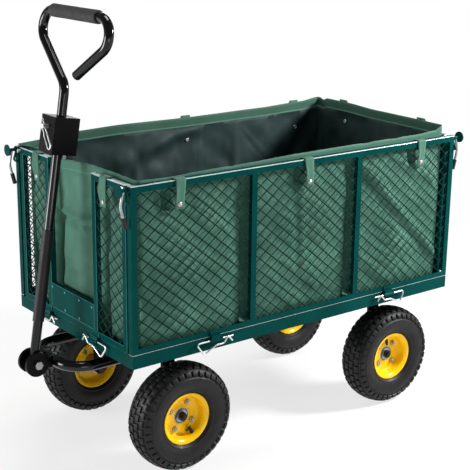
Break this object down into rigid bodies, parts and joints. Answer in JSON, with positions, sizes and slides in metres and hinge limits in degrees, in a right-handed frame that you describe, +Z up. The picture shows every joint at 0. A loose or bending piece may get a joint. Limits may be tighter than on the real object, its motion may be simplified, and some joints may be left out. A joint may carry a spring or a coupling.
{
  "type": "garden cart",
  "caption": "Four-wheeled steel garden cart with folding mesh sides, a cloth liner strapped over them, a turntable front axle and a looped tow handle.",
  "frame": {"origin": "on the ground, under the middle of the cart's bounding box", "axes": "+X towards the rear, away from the tow handle; +Y towards the cart's right side; +Z up"},
  "size_m": [1.154, 0.547, 1.0637],
  "materials": {
    "green_paint": "gloss",
    "black_paint": "gloss",
    "zinc": "satin",
    "liner_cloth": "matte",
    "grip_foam": "matte",
    "thrust_plastic": "matte",
    "latch_dip": "satin",
    "rim_yellow": "gloss",
    "tyre": "matte"
  },
  "bodies": {
    "chassis": {"bed_frame": "green_paint", "bed_floor": "green_paint", "turntable_top": "green_paint", "rear_axle_brackets": "black_paint", "rear_axle": "zinc", "wire_pins": "zinc", "liner": "liner_cloth"},
    "steering": {"axle_beam": "black_paint", "turntable_bottom": "black_paint", "thrust_ring": "thrust_plastic", "kingpin": "zinc", "front_axle": "zinc", "drawbar_bow": "black_paint", "clevis": "black_paint", "pivot_bolt": "zinc"},
    "handle": {"lower_pole": "black_paint", "pole_sleeve": "grip_foam", "hitch_box": "black_paint", "upper_handle": "black_paint", "handle_grip": "grip_foam", "hitch_pin": "zinc"},
    "left_panel": {"left_frame": "green_paint", "left_mesh": "green_paint", "left_straps": "liner_cloth", "left_snaps": "zinc"},
    "right_panel": {"right_frame": "green_paint", "right_mesh": "green_paint", "right_straps": "liner_cloth", "right_snaps": "zinc"},
    "front_panel": {"front_frame": "green_paint", "front_mesh": "green_paint", "front_plate": "green_paint", "front_fasteners": "zinc", "front_straps": "liner_cloth", "front_snaps": "zinc"},
    "rear_panel": {"rear_frame": "green_paint", "rear_mesh": "green_paint", "rear_keepers": "zinc", "rear_straps": "liner_cloth", "rear_snaps": "zinc"},
    "front_left_latch_body": {"front_left_latch": "zinc", "front_left_latch_grip": "latch_dip"},
    "front_right_latch_body": {"front_right_latch": "zinc", "front_right_latch_grip": "latch_dip"},
    "rear_left_latch_body": {"rear_left_latch": "zinc", "rear_left_latch_grip": "latch_dip"},
    "rear_right_latch_body": {"rear_right_latch": "zinc", "rear_right_latch_grip": "latch_dip"},
    "front_left_wheel": {"front_left_tyre": "tyre", "front_left_rim": "rim_yellow", "front_left_hub": "zinc"},
    "front_right_wheel": {"front_right_tyre": "tyre", "front_right_rim": "rim_yellow", "front_right_hub": "zinc"},
    "rear_left_wheel": {"rear_left_tyre": "tyre", "rear_left_rim": "rim_yellow", "rear_left_hub": "zinc"},
    "rear_right_wheel": {"rear_right_tyre": "tyre", "rear_right_rim": "rim_yellow", "rear_right_hub": "zinc"}
  },
  "joints": [
    {"name": "steer", "type": "hinge", "parent": "chassis", "child": "steering", "pos_m": [-0.279, 0, 0.28], "axis": [0, 0, 1], "range_deg": [-25, 25]},
    {"name": "handle_tilt", "type": "hinge", "parent": "steering", "child": "handle", "pos_m": [-0.548, 0, 0.259], "axis": [0, -1, 0], "range_deg": [0, 110]},
    {"name": "left_fold", "type": "hinge", "parent": "chassis", "child": "left_panel", "pos_m": [0.054, -0.2665, 0.325], "axis": [1, 0, 0], "range_deg": [0, 110]},
    {"name": "right_fold", "type": "hinge", "parent": "chassis", "child": "right_panel", "pos_m": [0.054, 0.2665, 0.325], "axis": [-1, 0, 0], "range_deg": [0, 110]},
    {"name": "front_fold", "type": "hinge", "parent": "chassis", "child": "front_panel", "pos_m": [-0.4495, 0, 0.325], "axis": [0, -1, 0], "range_deg": [0, 45]},
    {"name": "rear_fold", "type": "hinge", "parent": "chassis", "child": "rear_panel", "pos_m": [0.5575, 0, 0.325], "axis": [0, 1, 0], "range_deg": [0, 110]},
    {"name": "front_left_latch_turn", "type": "hinge", "parent": "left_panel", "child": "front_left_latch_body", "pos_m": [-0.442, -0.2515, 0.7045], "axis": [1, 0, 0], "range_deg": [0, 90]},
    {"name": "front_right_latch_turn", "type": "hinge", "parent": "right_panel", "child": "front_right_latch_body", "pos_m": [-0.442, 0.2515, 0.7045], "axis": [-1, 0, 0], "range_deg": [0, 90]},
    {"name": "rear_left_latch_turn", "type": "hinge", "parent": "left_panel", "child": "rear_left_latch_body", "pos_m": [0.55, -0.2515, 0.7045], "axis": [1, 0, 0], "range_deg": [0, 90]},
    {"name": "rear_right_latch_turn", "type": "hinge", "parent": "right_panel", "child": "rear_right_latch_body", "pos_m": [0.55, 0.2515, 0.7045], "axis": [-1, 0, 0], "range_deg": [0, 90]},
    {"name": "front_left_wheel_roll", "type": "hinge", "parent": "steering", "child": "front_left_wheel", "pos_m": [-0.279, -0.205, 0.13], "axis": [0, 1, 0], "continuous": true},
    {"name": "front_right_wheel_roll", "type": "hinge", "parent": "steering", "child": "front_right_wheel", "pos_m": [-0.279, 0.205, 0.13], "axis": [0, 1, 0], "continuous": true},
    {"name": "rear_left_wheel_roll", "type": "hinge", "parent": "chassis", "child": "rear_left_wheel", "pos_m": [0.387, -0.205, 0.13], "axis": [0, 1, 0], "continuous": true},
    {"name": "rear_right_wheel_roll", "type": "hinge", "parent": "chassis", "child": "rear_right_wheel", "pos_m": [0.387, 0.205, 0.13], "axis": [0, 1, 0], "continuous": true}
  ]
}
